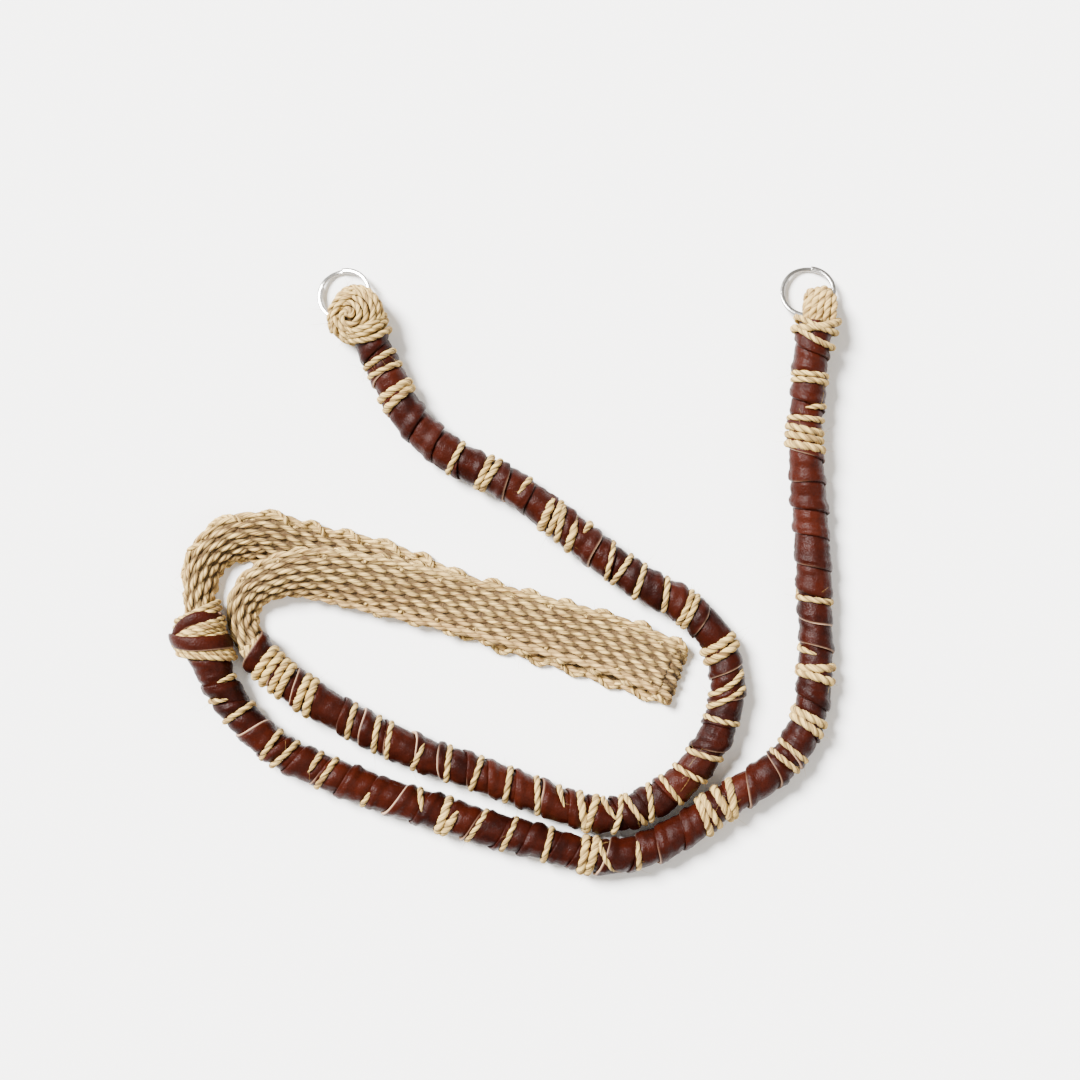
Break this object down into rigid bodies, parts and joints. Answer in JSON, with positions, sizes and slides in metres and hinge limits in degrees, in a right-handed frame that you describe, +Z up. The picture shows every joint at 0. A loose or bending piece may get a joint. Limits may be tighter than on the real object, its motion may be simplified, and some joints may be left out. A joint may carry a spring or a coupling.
{
  "type": "coiled camera strap",
  "caption": "Hand-made neck strap lying in a loose coil: leather-wrapped hemp arms, a folded woven hemp shoulder band and a steel split ring at each end.",
  "frame": {"origin": "on the floor under the middle of the strap's outline", "axes": "+X along the long way of the coil, +Y towards the two ring ends, +Z up from the surface it lies on"},
  "size_m": [0.2399, 0.2201, 0.0158],
  "materials": {
    "leather": "glossy reddish-brown strip with pale raw edges",
    "hemp": "twisted natural hemp cord",
    "weave": "hemp cord weave with looped edges",
    "steel": "polished steel"
  },
  "bodies": {
    "root": {"split_ring_left": "steel", "split_ring_right": "steel", "ring_loop_left": "hemp", "ring_loop_right": "hemp", "cord_core_left": "hemp", "cord_core_right": "hemp", "leather_wrap_left_1": "leather", "leather_wrap_left_2": "leather", "leather_wrap_left_3": "leather", "leather_wrap_left_4": "leather", "leather_wrap_left_5": "leather", "leather_wrap_left_6": "leather", "leather_wrap_left_7": "leather", "leather_wrap_left_8": "leather", "leather_wrap_right_1": "leather", "leather_wrap_right_2": "leather", "leather_wrap_right_3": "leather", "leather_wrap_right_4": "leather", "leather_wrap_right_5": "leather", "leather_wrap_right_6": "leather", "leather_wrap_right_7": "leather", "leather_wrap_right_8": "leather", "whipping_left_band": "hemp", "whipping_right_ring": "hemp", "whipping_right_middle": "hemp", "knot_cord_lower": "hemp", "knot_strip_lower": "leather", "knot_cord_upper": "hemp", "knot_strip_upper": "leather", "woven_band": "weave"}
  },
  "joints": []
}
